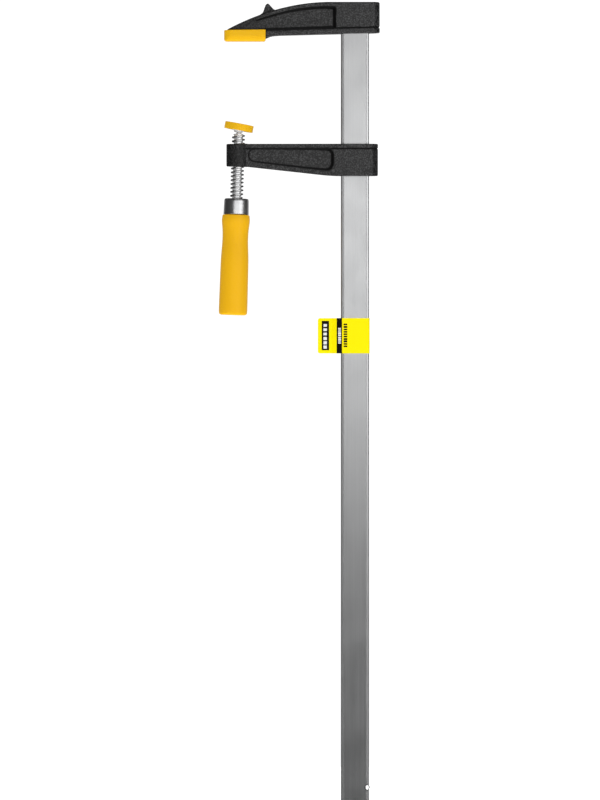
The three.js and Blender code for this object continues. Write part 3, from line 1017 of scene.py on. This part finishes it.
def make_handle():
    """A moulded grip with a collar, a waist, a barrelled body and a slightly dished end."""
    top = FERRULE_BOTTOM - CLEARANCE
    spigot_top = FERRULE_TOP - 4.3
    body = [(r, h) for r, h in smooth_curve(handle_profile())]
    profile = [
        (0, HANDLE_BOTTOM + 0.8),
        (5, HANDLE_BOTTOM + 0.7, 3),
        (12.2, HANDLE_BOTTOM, 1.5),
        (14.8, HANDLE_BOTTOM, 1.6),
        *body,
        (15.5, top, 0.9),
        (11.9, top, 0.3),
        (11.9, spigot_top, 0.5),
        (SHANK_RADIUS + CLEARANCE, spigot_top, 0.3),
        (SHANK_RADIUS + CLEARANCE, TANG_BOTTOM - CLEARANCE, 0.2),
        (0, TANG_BOTTOM - CLEARANCE),
    ]
    make_turned("handle", profile, FINE_SIDES, SCREW_AXIS, "screw", "handle_plastic", HANDLE_PLASTIC)


# ---------------------------------------------------------------- swivel pad


def make_swivel_pad():
    """A pressed steel disc whose socket closes round the ball."""
    profile = [
        (3.6, -5.6, 0.2),
        (4.4, -5.6, 0.3),
        (4.7, -5.1, 0.5),
        (5.2, -4.1, 0.8),
        (6.3, -2.9, 1),
        (8.2, -2.05, 1),
        (14.2, -2.05, 0.4),
        (14.2, 0.35, 0.4),
        (5.3, 0.35, 0.3),
        (5.3, 4.1, 0.5),
        (0.01, 4.1),
        (0.01, 3.65),
        (3.9, 3.65, 0.6),
        (4.5, -4.3, 0.3),
        (3.6, -4.8, 0.1),
    ]
    make_turned("swivel_pad", profile, DISC_SIDES, PAD_AXIS, "pad", "plated_steel", PALE_ZINC)


def make_swivel_pad_cap():
    """A plastic cup snapped over the disc, with softened rims and a shallow ring on its face."""
    radius, bottom, top = 16.65, -2.85, 5.05
    profile = [
        (13.4, bottom, 0.2),
        (radius, bottom, 0.6),
        (radius, top, 0.8),
        (12.6, top, 0.2),
        (12.3, top - 0.3, 0.15),
        (11.7, top - 0.3, 0.15),
        (11.4, top, 0.2),
        (0.01, top),
        (0.01, 4.3),
        (5.6, 4.3, 0.3),
        (5.6, 0.65, 0.3),
        (14.5, 0.65, 0.2),
        (14.5, -2.3, 0.2),
        (13.4, -2.35, 0.2),
    ]
    make_turned("swivel_pad_cap", profile, FINE_SIDES, PAD_AXIS, "pad", "cap_plastic", CAP_PLASTIC)


# ---------------------------------------------------------------- label tag

SHEET = 0.38  # thickness of the tag's film
LEAF_GAP = 0.06  # half the gap between the flap's two leaves
LEAF_END = 104  # where the leaves start to part
BEND_LENGTH = 10.6  # and over how long a stretch they part
FLAT_START = 115.1  # where they run straight on over the bar's faces
TAG_CORNER = 2.4
TAG_ROWS = 91  # rows of points up the tag
STRIPE = (111.2, 117.6)  # black stripe, left and right edges
BLOCK = (93.8, 102.5)  # black block on the flap
BLOCK_ENDS = (3.4, 37.4)  # its lower and upper ends above the tag's lower edge
BLOCK_MARK = (96.1, 100.2, 5.6, 34.5, 5.0)  # white bars: left, right, lower and upper ends, spacing
STRIPE_MARK = (113.0, 116.1, 11.4, 29.6, 2.1)
SIDE_MARK = (119.3, 123.5, 7.2, 35, 2.8)  # dark bars beside the stripe
BAR_SHARE = 0.68  # share of the spacing that a bar fills


def tag_path():
    """The film's outer face in plan, from the flap's end along the front, round the bar and back."""
    t = BAR_HALF_THICK + CLEARANCE
    right = BAR_HIGH[0] + CLEARANCE
    front = [(x, -SHEET - LEAF_GAP) for x in np.arange(TAG_LOW[0], LEAF_END, 0.5)]
    bend = [
        (LEAF_END + BEND_LENGTH * s, -SHEET - LEAF_GAP - (t - LEAF_GAP) * (s * s * (3 - 2 * s)))
        for s in np.linspace(0, 1, 20)
    ]
    flat = [(x, -t - SHEET) for x in np.arange(FLAT_START, right - BAR_CORNER, 0.6)]
    reach = BAR_CORNER + SHEET
    turn = [
        (right - BAR_CORNER + reach * math.sin(a), -t + BAR_CORNER - reach * math.cos(a))
        for a in np.linspace(0, math.pi / 2, 8)
    ]
    half = front + bend + flat + turn
    return np.array(half + [(x, -y) for x, y in reversed(half)])


def offset_path(path, distance):
    """The path moved sideways by distance, to its left."""
    ahead = np.gradient(path, axis=0)
    ahead /= np.linalg.norm(ahead, axis=1)[:, None]
    return path + distance * np.column_stack([-ahead[:, 1], ahead[:, 0]])


def tag_ink(x, height):
    """Which material a place on the tag's print has: 0 film, 1 black, 2 white."""
    if STRIPE[0] < x < STRIPE[1]:
        return 2 if on_bars(STRIPE_MARK, x, height) else 1
    if BLOCK[0] < x < BLOCK[1] and BLOCK_ENDS[0] < height < BLOCK_ENDS[1]:
        return 2 if on_bars(BLOCK_MARK, x, height) else 1
    return 1 if on_bars(SIDE_MARK, x, height) else 0


def on_bars(mark, x, height):
    """Whether a place on the print is on one of a column of short plain bars."""
    left, right, low, high, spacing = mark
    return left < x < right and low < height < high and (height - low) % spacing < BAR_SHARE * spacing


def make_tag():
    """The tag's film, with the flap's corners rounded and each face in the material printed there."""
    outer = tag_path()
    inner = offset_path(outer, SHEET)
    height = TAG_HIGH[2] - TAG_LOW[2]
    levels = np.linspace(0, 1, TAG_ROWS)
    rows = []
    for path in (outer, inner):
        for x, y in path:
            near = np.clip(TAG_CORNER - (x - TAG_LOW[0]), 0, TAG_CORNER)
            trim = TAG_CORNER - math.sqrt(max(TAG_CORNER**2 - near**2, 0))
            rows.append([(x, y, TAG_LOW[2] + trim + (height - 2 * trim) * v) for v in levels])
    points = np.array(rows).reshape(-1, 3)
    n, m = len(outer), len(levels)
    faces, inks = [], []

    def add_face(a, b, c, d, ink=0):
        faces.append((a, b, c, d))
        inks.append(ink)

    for i in range(n - 1):
        x = (outer[i][0] + outer[i + 1][0]) / 2
        for j in range(m - 1):
            a = i * m + j
            b = a + m
            ink = tag_ink(x, height * (levels[j] + levels[j + 1]) / 2)
            add_face(a, b, b + 1, a + 1, ink)
            c, d = a + n * m, b + n * m
            add_face(c, c + 1, d + 1, d)
        low, high = i * m, i * m + m - 1
        add_face(low, low + n * m, low + m + n * m, low + m)
        add_face(high, high + m, high + m + n * m, high + n * m)
    last = (n - 1) * m
    for j in range(m - 1):
        add_face(j, j + 1, j + 1 + n * m, j + n * m)
        add_face(last + j, last + j + n * m, last + j + 1 + n * m, last + j + 1)
    mesh = bpy.data.meshes.new("label_tag_detail")
    mesh.from_pydata((points * MM).tolist(), [], faces)
    mesh.polygons.foreach_set("material_index", inks)
    mesh.shade_smooth()
    mesh.set_sharp_from_angle(angle=math.radians(50))
    tag = make_object("label_tag_detail", mesh, "tag", "tag_card", "label_tag")
    for material in (TAG_FILM, TAG_INK, TAG_WHITE):
        tag.data.materials.append(material)


# ---------------------------------------------------------------- build

make_bar()
make_stop_pin()
make_fixed_jaw()
make_fixed_jaw_cap()
make_sliding_arm()
make_spindle()
make_ferrule()
make_handle()
make_swivel_pad()
make_swivel_pad_cap()
make_tag()

ring = frame["nodes"]["pad_retaining_ring"]
ring.data.materials.clear()
ring.data.materials.append(PLATED)

# ---------------------------------------------------------------- camera, light and stage

FRAME_HEIGHT = 0.9248  # how much of the clamp's height the picture takes in, in metres
FRAME_CENTRE = Vector((0.0689, 0, -0.4145))
FLOOR_DROP = 0.12  # how far the floor lies below the bar's end, in metres
FLOOR_HALF = 4  # half the floor's width, in metres
LENS = 400
SENSOR = 36
WHITE = 1.1  # strength of the backdrop and the floor, a little over white
FILL = 0.68  # light from all round, for the colours
ROOM = 0.052  # brightness of the room in reflections


def make_camera():
    data = bpy.data.cameras.new("camera")
    data.lens = LENS
    data.sensor_width = SENSOR
    data.clip_end = 50
    camera = bpy.data.objects.new("camera", data)
    bpy.context.scene.collection.objects.link(camera)
    camera.location = FRAME_CENTRE - Vector((0, FRAME_HEIGHT * LENS / SENSOR, 0))
    camera.rotation_euler = (math.pi / 2, 0, 0)
    bpy.context.scene.camera = camera


def make_softbox(name, place, target, width, height, radiance, lit=True, reflected=True):
    """A rectangular light of even radiance, unseen by the camera, for colours, reflections or both."""
    data = bpy.data.lights.new(name, "AREA")
    data.shape = "RECTANGLE"
    data.size = width
    data.size_y = height
    data.energy = 4 * width * height * radiance
    light = bpy.data.objects.new(name, data)
    bpy.context.scene.collection.objects.link(light)
    light.location = place
    light.rotation_euler = (Vector(target) - Vector(place)).to_track_quat("-Z", "Y").to_euler()
    light.visible_camera = False
    light.visible_diffuse = lit
    light.visible_glossy = reflected


def make_floor():
    """A white floor that only the camera sees. It lights nothing, and its glow hides shadows on it.

    It lies below the bar's end, because the handle reaches lower than that once the arm is slid down.
    """
    z = BAR_LOW[2] * MM - FLOOR_DROP
    corners = [(x * FLOOR_HALF, y * FLOOR_HALF, z) for x, y in ((-1, -1), (1, -1), (1, 1), (-1, 1))]
    mesh = bpy.data.meshes.new("floor")
    mesh.from_pydata(corners, [], [(0, 1, 2, 3)])
    floor = bpy.data.objects.new("floor", mesh)
    bpy.context.scene.collection.objects.link(floor)
    s = Shader("pale_floor", (0.86, 0.86, 0.86), 0.9, Emission_Color=(1, 1, 1, 1), Emission_Strength=WHITE)
    s.colours(s.spread(s.noise(3), 0, 1), (0.86, 0.86, 0.86), (0.88, 0.88, 0.88))
    mesh.materials.append(s.material)
    for kind in ("diffuse", "glossy", "transmission", "shadow"):
        setattr(floor, "visible_" + kind, False)


def make_world():
    """White behind the clamp, an even fill for its colours, and a dim room in its reflections."""
    world = bpy.data.worlds.new("studio")
    bpy.context.scene.world = world
    world.use_nodes = True
    nodes, links = world.node_tree.nodes, world.node_tree.links
    ray = nodes.new("ShaderNodeLightPath").outputs
    shade = nodes["Background"]
    shade.inputs["Color"].default_value = (FILL, FILL, FILL, 1)
    for kind, level in (("Is Glossy Ray", ROOM), ("Is Camera Ray", WHITE)):
        other = nodes.new("ShaderNodeBackground")
        other.inputs["Color"].default_value = (1, 1, 1, 1)
        other.inputs["Strength"].default_value = level
        mix = nodes.new("ShaderNodeMixShader")
        links.new(ray[kind], mix.inputs[0])
        links.new(shade.outputs[0], mix.inputs[1])
        links.new(other.outputs[0], mix.inputs[2])
        shade = mix
    links.new(shade.outputs[0], nodes["World Output"].inputs["Surface"])


make_camera()
# name, place and target in metres, width, height and radiance
make_softbox("key", (0.5, -1.17, -0.16), (0.07, 0, -0.16), 2.4, 0.59, 1.2, lit=False)
make_softbox("right strip", (1.0, -1.15, -0.6), (0.07, 0, -0.6), 0.5, 2.0, 0.45, lit=False)
make_softbox("left strip", (-1.0, -1.1, -0.95), (0.07, 0, -0.95), 0.5, 1.1, 0.6, lit=False)
make_softbox("back", (0.1, 1.3, -0.4), (0.1, 0, -0.4), 3, 1.3, 0.26, lit=False)
make_softbox("soft key", (0.5, -1.17, -0.17), (0.07, 0, -0.17), 2.4, 0.9, 0.5, reflected=False)
make_softbox("top", (0.3, -0.5, 1.3), (0.08, 0, -0.1), 1.2, 0.8, 0.9)
make_softbox("bounce", (0.1, -0.55, -1.75), (0.08, 0, -0.3), 1.6, 1.0, 3.6, reflected=False)
make_softbox("under glint", (0.1, -0.4, -1.75), (0.08, 0, -0.3), 1.6, 0.8, 1.15, lit=False)
make_floor()
make_world()
bpy.context.scene.view_settings.view_transform = "Standard"
